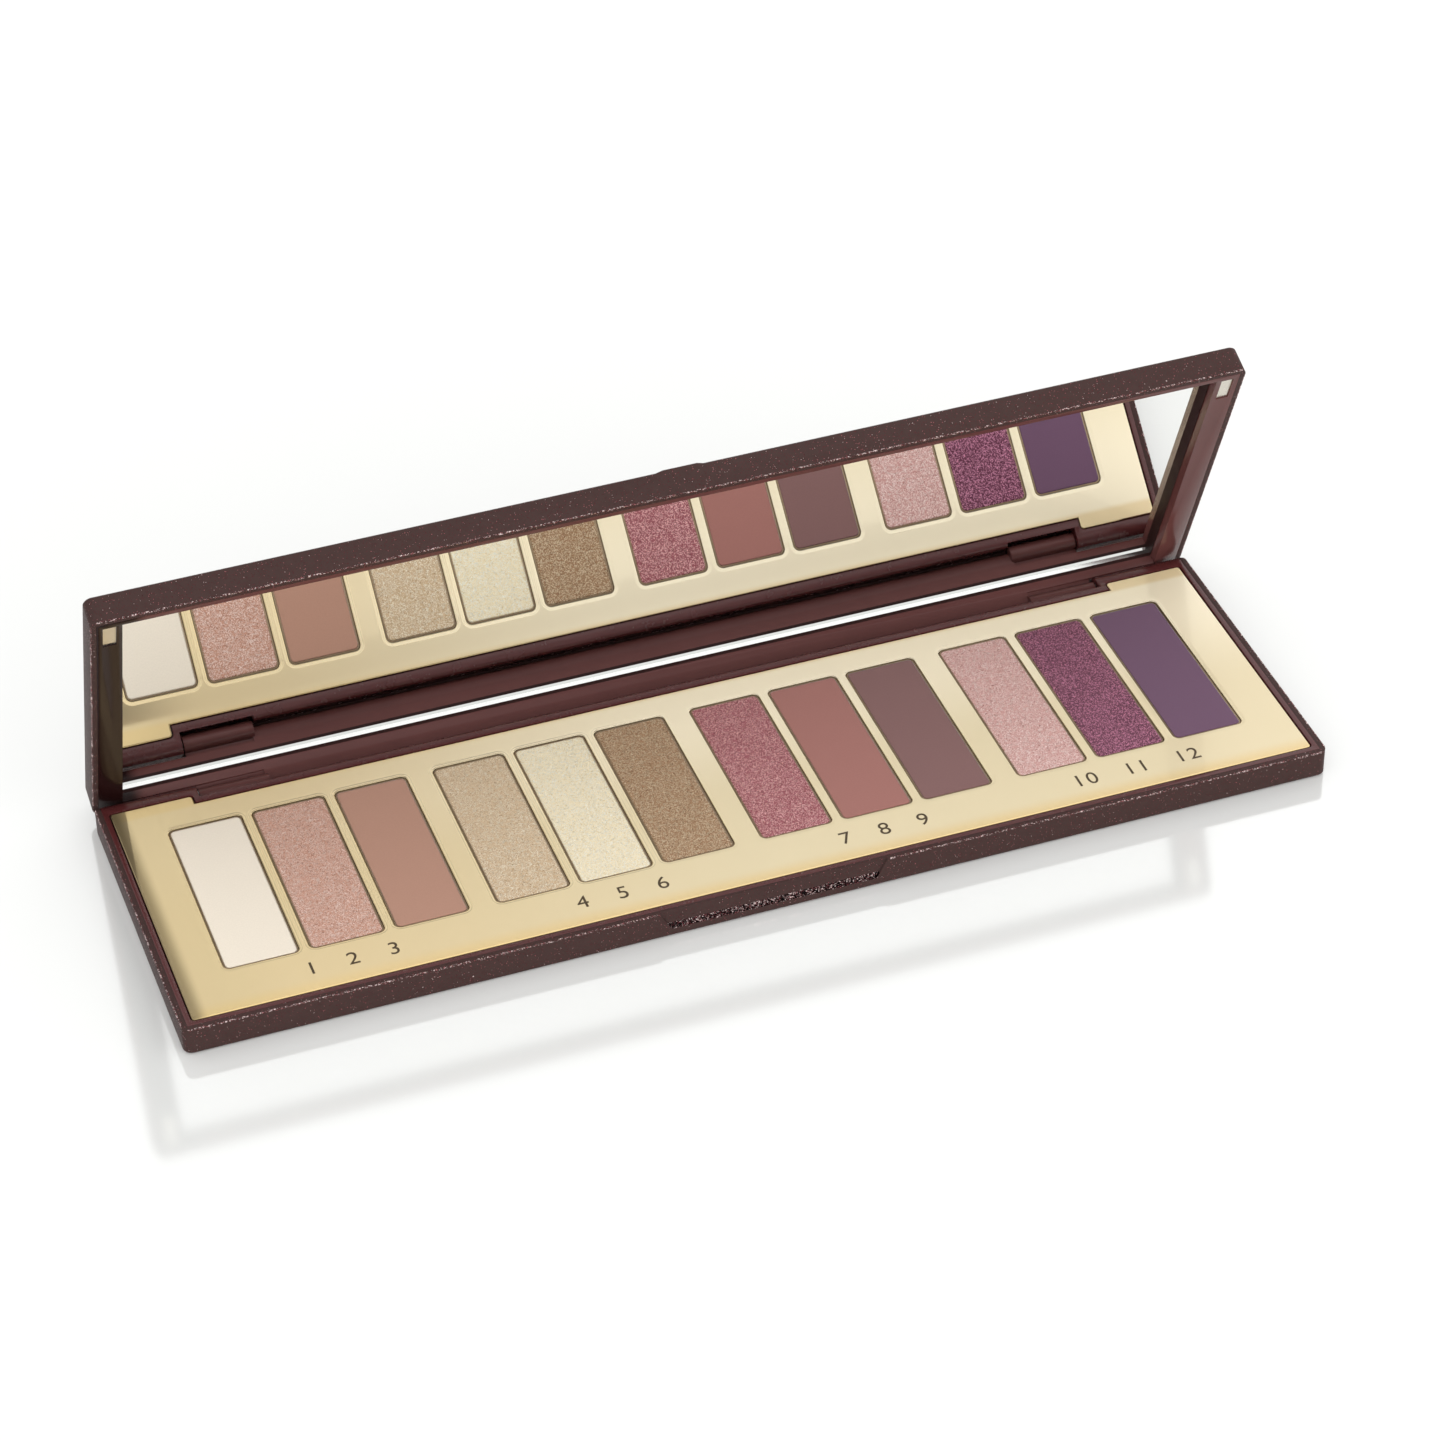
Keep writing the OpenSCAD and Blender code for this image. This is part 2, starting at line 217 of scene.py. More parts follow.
def glitter_zones(tree, where, face_point, inward, front_point, forward, notched):
    """Masks of the lacquer: the glitter band along the edge of the mouth, where massed flakes are painted
    glints, and on the notched half also the foot of the notch, dark with painted shade, and what lies
    outside. The band is what is nearer than EDGE_BAND to both the mouth and the nearest outer wall, as a root
    of the summed squares."""
    x, _, z = parts_of(tree, where)
    from_middle = maths(tree, "ABSOLUTE", x)
    from_front = from_plane(tree, where, front_point, forward)
    wall = maths(tree, "MINIMUM", maths(tree, "SUBTRACT", HALF_L, from_middle), from_front)
    mouth = from_plane(tree, where, face_point, inward)
    squares = maths(tree, "MULTIPLY_ADD", wall, wall, maths(tree, "MULTIPLY", mouth, mouth))
    # the band along the mouth edge, where extra flakes are painted glints that stand in for light caught by a
    # rounded edge
    edge = maths(tree, "LESS_THAN", maths(tree, "SQRT", squares), EDGE_BAND)
    if not notched:
        return edge, None, None
    normal = surface_normal(tree)
    up = parts_of(tree, normal)[2]
    low = maths(tree, "LESS_THAN", z, NOTCH_SHADE_Z)
    on_ledge = maths(tree, "MULTIPLY", maths(tree, "GREATER_THAN", up, LOOKS_UP), low)
    outer = maths(tree, "LESS_THAN", wall, LEDGE_BAND)
    sunk = maths(tree, "COMPARE", from_front, NOTCH_SINK, SHELL_EDGE)
    notch_wall = maths(tree, "MULTIPLY", sunk, maths(tree, "LESS_THAN", from_middle, NOTCH_HALF))
    foot = maths(tree, "MULTIPLY", maths(tree, "MULTIPLY", notch_wall, low),
                 maths(tree, "GREATER_THAN", up, LOOKS_DOWN))
    # painted shade: the foot of the notch and the showing part of its ledge
    dark = maths(tree, "MAXIMUM", foot, maths(tree, "MULTIPLY", on_ledge, outer))
    to_middle = vector_maths(tree, "MULTIPLY", where, (-1.0, -1.0, 0.0))
    inner_wall = maths(tree, "GREATER_THAN", vector_maths(tree, "DOT_PRODUCT", to_middle, normal), LOOKS_IN)
    hidden_floor = maths(tree, "MULTIPLY", on_ledge, maths(tree, "SUBTRACT", 1.0, outer))
    outside = maths(tree, "SUBTRACT", 1.0, maths(tree, "MAXIMUM", inner_wall, hidden_floor))
    return maths(tree, "MAXIMUM", edge, dark), dark, outside


def glitter_lacquer(name, face_point, inward, front_point, forward, notched=False):
    """Burgundy plastic under lacquer with fine flakes, massed along the outer edge of the mouth as painted
    glints. The mouth lies through face_point, with inward leading into the shell, and the front through
    front_point, with forward leading out of it. On the notched half the foot of the notch is dark with
    painted shade and thick with flakes, and the faces inside the shell have none."""
    made, tree, out = new_material(name)
    where = object_place(tree)
    body = finish_node(tree, (0.057, 0.032, 0.029), Roughness=0.45, IOR=1.18)
    tone = colour_between(tree, noise(tree, where, 700), (0.050, 0.028, 0.0255), (0.064, 0.036, 0.033))
    tree.links.new(bump(tree, noise(tree, where, 2200), 0.3, 0.00002), body.inputs["Normal"])
    edge, dark, outside = glitter_zones(tree, where, face_point, inward, front_point, forward, notched)
    if notched:
        # the foot of the notch and its ledge darkened as painted shade
        tone = toned(tree, tone, dark, (0.003, 0.0015, 0.0015))
    tree.links.new(tone, body.inputs["Base Color"])
    shader = body.outputs[0]
    for size, share, more, tilt, colour in FLAKES:
        mask, leaned = flakes(tree, where, size, maths(tree, "MULTIPLY_ADD", edge, more, share), tilt)
        flake = finish_node(tree, colour, Metallic=1.0, Roughness=0.3)
        tree.links.new(leaned, flake.inputs["Normal"])
        if notched:
            mask = maths(tree, "MULTIPLY", mask, outside)
        shader = blend_shaders(tree, mask, shader, flake.outputs[0])
    tree.links.new(shader, out.inputs["Surface"])
    return made


def eased(node, width, finish, body):
    """The node's own solid with every sharp edge rounded off to width, as a mould leaves it: its
    triangles are merged, flat neighbours joined, and edges that turn by over 25 degrees bevelled."""
    mesh = bpy.data.meshes.new(f"{node}_moulded")
    work = bmesh.new()
    work.from_mesh(CAD[node].data)
    bmesh.ops.remove_doubles(work, verts=work.verts, dist=MERGE)
    bmesh.ops.dissolve_limit(work, angle_limit=FLAT_TURN, verts=work.verts, edges=work.edges)
    sharp = [e for e in work.edges if len(e.link_faces) == 2 and e.calc_face_angle() > BEVEL_TURN]
    bmesh.ops.bevel(work, geom=sharp, offset=width, segments=2, profile=0.5, affect="EDGES",
                    clamp_overlap=True)
    work.to_mesh(mesh)
    work.free()
    mesh.polygons.foreach_set("use_smooth", np.full(len(mesh.polygons), True))
    mesh.set_sharp_from_angle(angle=SHARP_TURN)
    mesh.materials.clear()
    mesh.materials.append(finish)
    piece = bpy.data.objects.new(f"{node}_moulded", mesh)
    bpy.context.scene.collection.objects.link(piece)
    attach(piece, body)
    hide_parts(node)


base_lacquer = glitter_lacquer("glitter_lacquer", (0, 0, RIM_Z), (0, 0, -1), (0, FRONT, 0), (0, -1, 0),
                               notched=True)
eased("base_shell", SHELL_EDGE, base_lacquer, "base")


# ---- Pan tray ----
# Inner moulding of the base, with its rim, the pan pockets, the back bar and the hinge barrels
# in one. The same burgundy plastic without glitter, with a satin skin, bonded into the shell.

TRAY_EDGE = 0.0001
# width over which painted shade darkens the plastic at the left end of the lid frame
SHADE_FADE = 0.003


def eased_step(tree, value, low, high, start, end):
    """Eased step from start to end while the value goes from low to high."""
    step = tree.nodes.new("ShaderNodeMapRange")
    step.interpolation_type = "SMOOTHSTEP"
    for socket, number in (("From Min", low), ("From Max", high), ("To Min", start), ("To Max", end)):
        step.inputs[socket].default_value = number
    tree.links.new(value, step.inputs["Value"])
    return step.outputs[0]


def satin_plastic(name, colour, haze, dense, shaded_left_end=None):
    """Plain burgundy plastic with a faint moulded grain, darkened by painted shade past the given left end
    where that is given.
    """
    made, tree, out = new_material(name)
    where = object_place(tree)
    body = finish_node(tree, colour, Roughness=haze, IOR=dense)
    dark, light = (tuple(c * k for c in colour) for k in (0.88, 1.12))
    tone = colour_between(tree, noise(tree, where, 120), dark, light)
    if shaded_left_end:
        # painted shade towards the left end
        painted_shade_share = eased_step(tree, parts_of(tree, where)[0], shaded_left_end, shaded_left_end - SHADE_FADE, 0.0, 0.92)
        tone = toned(tree, tone, painted_shade_share, (0.006, 0.0015, 0.0015))
    tree.links.new(tone, body.inputs["Base Color"])
    gloss = maths(tree, "MULTIPLY_ADD", noise(tree, where, 500), 0.12, haze - 0.06)
    tree.links.new(gloss, body.inputs["Roughness"])
    tree.links.new(bump(tree, noise(tree, where, 4000), 0.12, 0.00001), body.inputs["Normal"])
    tree.links.new(body.outputs[0], out.inputs["Surface"])
    return made


satin_burgundy = satin_plastic("satin_burgundy", (0.082, 0.018, 0.018), 0.26, 1.5)
eased("pan_tray", TRAY_EDGE, satin_burgundy, "base")


# ---- Pans ----
# Twelve pressed tins, darkened to brown as painted shade, set into the pockets of the tray. Only their rims
# show, as a fine dark line round each powder that stands in for the shade between deck and powder.

PANS = range(1, 13)


def dress(node, finish):
    """Gives a CAD node its material."""
    mesh = CAD[node].data
    mesh.materials.clear()
    mesh.materials.append(finish)


def tin_with_painted_shade():
    """Tin darkened to brown as painted shade, a little uneven in colour and gloss."""
    made, tree, out = new_material("tin_with_painted_shade")
    where = object_place(tree)
    # dark brown, as painted shade for the line round each powder
    body = finish_node(tree, (0.30, 0.21, 0.13), Metallic=1.0, Roughness=0.35)
    tone = colour_between(tree, noise(tree, where, 300), (0.26, 0.18, 0.11), (0.34, 0.25, 0.16))
    tree.links.new(tone, body.inputs["Base Color"])
    gloss = maths(tree, "MULTIPLY_ADD", noise(tree, where, 1200), 0.15, 0.28)
    tree.links.new(gloss, body.inputs["Roughness"])
    tree.links.new(body.outputs[0], out.inputs["Surface"])
    return made


shaded_tin = tin_with_painted_shade()
for number in PANS:
    dress(f"pan_{number:02d}", shaded_tin)


# ---- Powders ----
# Pressed powder in each pan, its top a hair over the rim and rounded off at the edge.
# Matte shades are plain, shimmer shades hold flakes of mica and press less smoothly.

# colour, share of mica, colour of the mica, roughness of the pressing in metres
SHADES = {
    1: ((0.945, 0.85, 0.715), 0.0, None, 0.000004),
    2: ((0.60, 0.32, 0.235), 0.20, (0.95, 0.72, 0.64), 0.000016),
    3: ((0.50, 0.275, 0.20), 0.0, None, 0.000004),
    4: ((0.66, 0.48, 0.30), 0.18, (0.95, 0.85, 0.68), 0.000012),
    5: ((0.95, 0.82, 0.56), 0.20, (1.0, 0.96, 0.82), 0.000014),
    6: ((0.375, 0.215, 0.115), 0.20, (0.75, 0.60, 0.42), 0.000018),
    7: ((0.365, 0.107, 0.127), 0.20, (0.90, 0.52, 0.52), 0.000020),
    8: ((0.41, 0.178, 0.153), 0.0, None, 0.000004),
    9: ((0.25, 0.13, 0.125), 0.0, None, 0.000004),
    10: ((0.66, 0.36, 0.33), 0.20, (1.0, 0.78, 0.74), 0.000016),
    11: ((0.155, 0.042, 0.08), 0.18, (0.72, 0.30, 0.45), 0.000020),
    12: ((0.165, 0.083, 0.145), 0.0, None, 0.000004),
}

# points of the pressed top, radius of its corners in plan and of its rounded edge
CAKE_ROWS = 180
CAKE_COLUMNS = 64
CAKE_CORNER = 0.00086
CAKE_EASE = 0.00006
# how far a cake reaches out over the rim of its pan, and how far it stands over the CAD powder,
# less a small sink
OVER_RIM = 0.00004
PROUD = 0.00024
CAKE_SINK = 0.00002
# soft noise in the top of a cake: size in cells, share of the height
CAKE_NOISE = ((1.7, 0.6), (5.0, 0.4))
# mica flakes: size, part of the share of mica, whether they are dark specks of painted shade for pits, lean
MICA = ((0.00018, 0.45, True, 0.6), (0.00016, 1.0, False, 0.8), (0.00011, 1.0, False, 1.0))


def new_piece(name, points, faces, *materials, smooth=True):
    """A mesh object at the origin, from an array of points and lists of corner numbers."""
    mesh = bpy.data.meshes.new(name)
    mesh.from_pydata(points.tolist(), [], faces)
    for finish in materials:
        mesh.materials.append(finish)
    mesh.polygons.foreach_set("use_smooth", np.full(len(mesh.polygons), smooth))
    mesh.update()
    piece = bpy.data.objects.new(name, mesh)
    bpy.context.scene.collection.objects.link(piece)
    return piece


def grid_faces(rows, columns, closed=False):
    """Four-cornered faces of a grid of rows by columns points, numbered row by row; a closed grid
    joins its last column to its first."""
    last = columns if closed else columns - 1
    row, column = np.meshgrid(np.arange(rows - 1), np.arange(last), indexing="ij")
    ahead = (column + 1) % columns
    near, far = row * columns, (row + 1) * columns
    return np.stack([c.ravel() for c in (near + column, near + ahead, far + ahead, far + column)], 1)


def soft_field(rng, rows, columns, pitch):
    """Random heights from -1 to 1 on a grid, smooth over pitch cells: random values on a coarse
    grid, joined by the eased blend 3t^2 - 2t^3 in both directions."""
    coarse = rng.uniform(-1, 1, (int(rows / pitch) + 2, int(columns / pitch) + 2))
    r, c = np.arange(rows) / pitch, np.arange(columns) / pitch
    ri, ci = r.astype(int), c.astype(int)
    rt, ct = r - ri, c - ci
    rt, ct = (rt * rt * (3 - 2 * rt))[:, None], (ct * ct * (3 - 2 * ct))[None]
    top = coarse[np.ix_(ri, ci)] * (1 - ct) + coarse[np.ix_(ri, ci + 1)] * ct
    low = coarse[np.ix_(ri + 1, ci)] * (1 - ct) + coarse[np.ix_(ri + 1, ci + 1)] * ct
    return top * (1 - rt) + low * rt


def pressed_powder(name, colour, mica, mica_colour):
    """Fine grained powder, with dark specks of painted shade for pits and mica flakes leaning at random where
    it shimmers.
    """
    made, tree, out = new_material(name)
    where = object_place(tree)
    body = finish_node(tree, colour, Roughness=0.85, IOR=1.35, Sheen_Weight=0.35, Sheen_Roughness=0.4)
    dark, light = tuple(c * 0.86 for c in colour), tuple(min(1, c * 0.98) for c in colour)
    tone = colour_between(tree, noise(tree, where, 3500), dark, light)
    tree.links.new(tone, body.inputs["Base Color"])
    tree.links.new(bump(tree, noise(tree, where, 6000), 0.4, 0.00003), body.inputs["Normal"])
    shader = body.outputs[0]
    if mica:
        # dark specks of painted shade for the pits of a less smooth pressing
        pit_shade, metal = tuple(c * (0.5 + 0.35 * c) for c in colour), 0.8 - 0.5 * colour[1]
        for size, part, shade_pit, tilt in MICA:
            mask, leaned = flakes(tree, where, size, mica * part, tilt)
            flake = finish_node(tree, pit_shade if shade_pit else mica_colour, Metallic=metal, Roughness=0.45)
            tree.links.new(leaned, flake.inputs["Normal"])
            shader = blend_shaders(tree, mask, shader, flake.outputs[0])
    tree.links.new(shader, out.inputs["Surface"])
    return made


def into_corner(x, y, half):
    """How far each point lies, in x and in y, past the centre of its rounded corner."""
    return np.maximum(np.abs(x) - half[0] + CAKE_CORNER, 0), np.maximum(np.abs(y) - half[1] + CAKE_CORNER, 0)


def cake_top(low, high, press, rng):
    """Grid over a rounded rectangle. A square grid is squeezed to the round corners: a point at
    (a, b) past a corner's centre is pulled in by max(a, b) / hypot(a, b). The height is the
    pressed level plus soft noise, less a quarter round of CAKE_EASE along the edge."""
    half, middle = (high - low)[:2] / 2, (low + high) / 2
    x = half[0] * np.linspace(-1, 1, CAKE_COLUMNS)[None] + np.zeros((CAKE_ROWS, 1))
    y = half[1] * np.linspace(-1, 1, CAKE_ROWS)[:, None] + np.zeros((1, CAKE_COLUMNS))
    a, b = into_corner(x, y, half)
    slant = np.hypot(a, b)
    pull = np.where(slant > 0, np.maximum(a, b) / np.maximum(slant, 1e-9), 1)
    x, y = np.sign(x) * (np.abs(x) - a + a * pull), np.sign(y) * (np.abs(y) - b + b * pull)
    edge = CAKE_CORNER - np.hypot(*into_corner(x, y, half))
    inset = np.clip(CAKE_EASE - np.where(edge < CAKE_CORNER, edge, CAKE_EASE), 0, CAKE_EASE)
    drop = CAKE_EASE - np.sqrt(CAKE_EASE ** 2 - inset ** 2)
    grain = sum(share * soft_field(rng, CAKE_ROWS, CAKE_COLUMNS, pitch) for pitch, share in CAKE_NOISE)
    z = high[2] - CAKE_SINK - drop + press * (grain - 1)
    return np.stack([x + middle[0], y + middle[1], z], -1).reshape(-1, 3)


def powder_cake(name, seed, press, finish):
    """Closed block of powder: the pressed top, a shelf that steps in over the rim of the pan, and
    a wall down to the floor of the pan."""
    low, high = (np.array(c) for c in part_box(name))
    inside = (high - low)[:2] / 2
    low, high = low - (OVER_RIM, OVER_RIM, 0), high + (OVER_RIM, OVER_RIM, PROUD)
    half, middle = (high - low)[:2] / 2, (low + high) / 2
    top = cake_top(low, high, press, np.random.default_rng(seed))
    index = np.arange(CAKE_ROWS * CAKE_COLUMNS).reshape(CAKE_ROWS, CAKE_COLUMNS)
    ring = np.concatenate([index[0, :-1], index[:-1, -1], index[-1, :0:-1], index[:0:-1, 0]])
    shelf, foot = top[ring].copy(), top[ring].copy()
    shelf[:, :2] = middle[:2] + (shelf[:, :2] - middle[:2]) * inside / half
    shelf[:, 2] = high[2] - CAKE_SINK - CAKE_EASE - press
    foot[:, :2], foot[:, 2] = shelf[:, :2], low[2]
    order = np.arange(len(ring)) + len(top)
    rings = (ring, order, order + len(ring))
    skirt = [np.stack([a, b, np.roll(b, -1), np.roll(a, -1)], 1) for a, b in zip(rings, rings[1:])]
    faces = grid_faces(CAKE_ROWS, CAKE_COLUMNS).tolist() + np.concatenate(skirt).tolist()
    faces.append(rings[2][::-1].tolist())
    piece = new_piece(f"{name}_cake", np.concatenate([top, shelf, foot]), faces, finish)
    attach(piece, "base")
    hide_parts(name)


for number, (colour, mica, mica_colour, press) in SHADES.items():
    powder = f"powder_{number:02d}"
    powder_cake(powder, number, press, pressed_powder(powder, colour, mica, mica_colour))


# ---- Deck plate ----
# Gold metallised plate that lies on the tray round the pans, moulded with a soft round lip and a
# shallow fall at each window. It is satin, with a sharp gloss on its lips and at its left end.

deck_low, deck_high = (np.array(c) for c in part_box("deck_plate"))
DECK_X, DECK_FRONT, DECK_BACK = deck_high[0], deck_low[1], deck_high[1]
DECK_TOP, DECK_FOOT = deck_high[2], deck_low[2]
TAB_L = 0.0147
DECK_MID = DECK_BACK - 0.0022
DECK_R = 0.0006
LEAST_R = 0.00002
WINDOW_R = 0.0012
# the edge of a window stands this far outside the box of its pan
WINDOW_OUT = 0.0001
# reach and drop of the round lips, width and depth of the falls
DECK_LIP = (0.0003, 0.0002)
WINDOW_LIP = (0.00024, 0.00018)
WINDOW_FALL = (0.0006, 0.00006)

# the colour turns across the deck: paler to the rear as painted light, deeper to the left and darkest at the
# left end as painted reflection of the dark surroundings, and more orange towards the front and back edges:
# axis, from, to, how far, colour
DECK_TONES_AND_PAINTED_LIGHT = ((1, -0.008, 0.018, 0.95, (1.0, 0.89, 0.66)),
              (0, 0.010, -0.085, 0.9, (0.76, 0.60, 0.335)),
              (1, DECK_FRONT + 0.0035, DECK_FRONT, 0.8, (0.80, 0.59, 0.27)),
              (1, DECK_MID - 0.0012, DECK_MID, 0.6, (0.80, 0.59, 0.27)),
              (0, -0.0985, -0.1012, 0.9, (0.30, 0.23, 0.12)))
# the sharp gloss fades from the left end, and over the left half for the falls: from, to
GLOSS_END, GLOSS_HALF = (-0.0985, -0.080), (-0.030, 0.0)
# upward part of the normal at which the lips and the falls lose their gloss: from, to
GLOSS_LIP, GLOSS_FALL = (0.90, 0.99), (0.980, 0.9995)


def rounded_outline(x0, x1, y0, y1, radius, steps=8):
    """Points round a rectangle with round corners, anticlockwise: each corner is a quarter circle
    of that radius about a centre set in by the radius from both sides."""
    turn = np.linspace(0, np.pi / 2, steps + 1)
    loops = []
    for quarter, (x, y) in enumerate(((x1 - radius, y1 - radius), (x0 + radius, y1 - radius),
                                      (x0 + radius, y0 + radius), (x1 - radius, y0 + radius))):
        angle = turn + quarter * np.pi / 2
        loops.append(np.stack([x + radius * np.cos(angle), y + radius * np.sin(angle)], 1))
    return np.concatenate(loops)


def metallised_gold():
    """Satin plating under a thin sharp gloss, which is strongest on the lips, on the falls of the left half
    and at the left end; painted light makes it paler to the rear, painted reflection makes it deeper at the
    left and darkest at the left end, and it turns more orange at the front and back edges."""
    made, tree, out = new_material("metallised_gold")
    where = object_place(tree)
    place = parts_of(tree, where)
    up = parts_of(tree, surface_normal(tree))[2]
    tone = colour_between(tree, noise(tree, where, 60), (0.80, 0.68, 0.44), (0.83, 0.71, 0.47))
    for axis, low, high, most, colour in DECK_TONES_AND_PAINTED_LIGHT:
        # each tone: painted light to the rear, painted reflection at the left, orange at the front and back
        # edges
        tone = toned(tree, tone, eased_step(tree, place[axis], low, high, 0.0, most), colour)
    layers = []
    for metal, spread, haze in ((0.10, 0.10, 0.30), (1.0, 0.03, 0.05)):
        layer = finish_node(tree, (0.84, 0.71, 0.47), Metallic=metal)
        tree.links.new(tone, layer.inputs["Base Color"])
        gloss = maths(tree, "MULTIPLY_ADD", noise(tree, where, 400), spread, haze)
        tree.links.new(gloss, layer.inputs["Roughness"])
        layers.append(layer.outputs[0])
    left = eased_step(tree, place[0], *GLOSS_END, 0.55, 0.06)
    lips = eased_step(tree, up, *GLOSS_LIP, 0.9, 0.0)
    left_half = eased_step(tree, place[0], *GLOSS_HALF, 1.0, 0.0)
    falls = maths(tree, "MULTIPLY", eased_step(tree, up, *GLOSS_FALL, 0.8, 0.0), left_half)
    share = maths(tree, "MAXIMUM", left, maths(tree, "MAXIMUM", lips, falls))
    tree.links.new(blend_shaders(tree, share, *layers), out.inputs["Surface"])
    return made


def deck_outline(inset, steps=8):
    """Outline of the plate set in by inset, anticlockwise: straight back edge between two corner
    tabs. Convex corners are quarter circles of the corner radius less the inset, and the two
    inner corners of the tabs are quarter circles of the inset."""
    turn = np.linspace(0, np.pi / 2, steps + 1)
    convex, inner = max(DECK_R - inset, LEAST_R), max(inset, LEAST_R)
    x, front, back = DECK_X - inset, DECK_FRONT + inset, DECK_BACK - inset
    step_x = DECK_X - TAB_L
    arcs = [(x - convex, front + convex, convex, turn - np.pi / 2),
            (x - convex, back - convex, convex, turn),
            (step_x + inset + convex, back - convex, convex, turn + np.pi / 2),
            (step_x, DECK_MID, inner, -turn)]
    right = np.concatenate([np.stack([cx + r * np.cos(a), cy + r * np.sin(a)], 1) for cx, cy, r, a in arcs])
    return np.concatenate([right, (right * (-1, 1))[::-1]])


def lip(outline, reach, drop, wide=0.0, dip=0.0, steps=12):
    """Rings from the flat out to a round edge and down its wall: ring a stands reach*sin(a) from
    the flat and drop*(1 - cos(a)) below it for a from 0 to a right angle. A width starts it with
    a shallow fall of dip*sin(a)^2 over that width."""
    angle = np.linspace(0, np.pi / 2, steps)
    rings = []
    if wide:
        rings = [(reach + wide * (1 - a / angle[-1]), DECK_TOP - dip * np.sin(a) ** 2) for a in angle[:-1]]
    rings += [(reach * (1 - np.sin(a)), DECK_TOP - dip - drop * (1 - np.cos(a))) for a in angle]
    rings.append((0, DECK_FOOT))
    return np.stack([np.column_stack([outline(away), np.full(len(outline(away)), z)]) for away, z in rings])


def window_outline(pan):
    """A function for the outline of a pan's window, set out by away from its edge, clockwise."""
    (x0, y0, _), (x1, y1, _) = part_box(pan)

    def outline(away):
        out = WINDOW_OUT + away
        return rounded_outline(x0 - out, x1 + out, y0 - out, y1 + out, WINDOW_R + away)[::-1]

    return outline


def flat_between(loops, points, starts, level, upwards):
    """Triangles of the plate's flat top or underside, between the outline and all the windows:
    the rings at one level are filled, and each triangle is turned to face the way asked for."""
    numbers = np.concatenate([start + level % len(rings) * rings.shape[1] + np.arange(rings.shape[1])
                              for start, rings in zip(starts, loops)])
    triangles = numbers[np.array(tessellate_polygon([rings[level].tolist() for rings in loops]))]
    p = points[triangles]
    up = np.cross(p[:, 1] - p[:, 0], p[:, 2] - p[:, 0])[:, 2] > 0
    wrong = up != upwards
    triangles[wrong] = triangles[wrong][:, ::-1]
    return triangles.tolist()


def deck_gold(finish):
    """The plate: a lip round its outline and one round each window, with the flats between."""
    loops = [lip(deck_outline, *DECK_LIP)]
    loops += [lip(window_outline(f"pan_{number:02d}"), *WINDOW_LIP, *WINDOW_FALL) for number in PANS]
    starts = np.cumsum([0] + [rings.shape[0] * rings.shape[1] for rings in loops[:-1]])
    points = np.concatenate([rings.reshape(-1, 3) for rings in loops])
    faces = []
    for start, rings in zip(starts, loops):
        faces += (grid_faces(len(rings), rings.shape[1], closed=True)[:, ::-1] + start).tolist()
    round_faces = len(faces)
    faces += flat_between(loops, points, starts, 0, True) + flat_between(loops, points, starts, -1, False)
    piece = new_piece("deck_gold", points, faces, finish)
    piece.data.polygons.foreach_set("use_smooth", np.arange(len(faces)) < round_faces)
    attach(piece, "base")
    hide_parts("deck_plate")


deck_gold(metallised_gold())


# ---- Pan numbers ----
# Plain numbers printed in dark brown ink along the front of the deck, three for each group of
# pans. They name the pans from left to right.

NUMBER_H = 0.0044
# how far in from the front of the deck the numbers stand
NUMBER_IN = 0.0041
INK_T = 0.00001
# middles of the four prints, a little left of the middles of their groups
PRINTS = (-0.0725, -0.0247, 0.0231, 0.0706)


def print_brown():
    """Dark brown ink, a little uneven."""
    made, tree, out = new_material("print_brown")
    where = object_place(tree)
    body = finish_node(tree, (0.06, 0.035, 0.015), Roughness=0.5)
    tone = colour_between(tree, noise(tree, where, 2000), (0.05, 0.03, 0.012), (0.08, 0.05, 0.022))
    tree.links.new(tone, body.inputs["Base Color"])
    tree.links.new(body.outputs[0], out.inputs["Surface"])
    return made


def printed_numbers(group, middle, finish):
    """The numbers of one group, made a mesh before they are put in their place."""
    words = bpy.data.curves.new(f"numbers_{group}", "FONT")
    words.body = "   ".join(str(group * 3 - 3 + pan) for pan in (1, 2, 3))
    words.align_x = "CENTER"
    words.size = NUMBER_H
    words.space_character = 1.15
    words.extrude = INK_T
    written = bpy.data.objects.new("written", words)
    bpy.context.scene.collection.objects.link(written)
    mesh = bpy.data.meshes.new_from_object(written)
    bpy.data.objects.remove(written)
    mesh.transform(Matrix.Translation((middle, DECK_FRONT + NUMBER_IN, DECK_TOP + INK_T)))
    mesh.materials.clear()
    mesh.materials.append(finish)
    piece = bpy.data.objects.new(f"numbers_{group}", mesh)
    bpy.context.scene.collection.objects.link(piece)
    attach(piece, "base")


ink = print_brown()
for group, middle in enumerate(PRINTS, 1):
    printed_numbers(group, middle, ink)


# ---- Magnet plates ----
# Four small nickel plated plates that hold the lid shut, two under the front corners of the
# deck and two pressed into the front corners of the lid frame, where they show.

def nickel():
    """Bright nickel plate, a little uneven in gloss."""
    made, tree, out = new_material("nickel_plate")
    where = object_place(tree)
    body = finish_node(tree, (0.72, 0.68, 0.60), Metallic=1.0, Roughness=0.3)
    gloss = maths(tree, "MULTIPLY_ADD", noise(tree, where, 900), 0.2, 0.2)
    tree.links.new(gloss, body.inputs["Roughness"])
    tree.links.new(body.outputs[0], out.inputs["Surface"])
    return made


plated = nickel()
for node in ("base_magnet_left", "base_magnet_right", "lid_magnet_left", "lid_magnet_right"):
    dress(node, plated)


# ---- Hinge pins ----
# Two short dark steel pins, pushed through the barrels of the tray into the lugs of the lid
# frame. The lid turns on them.

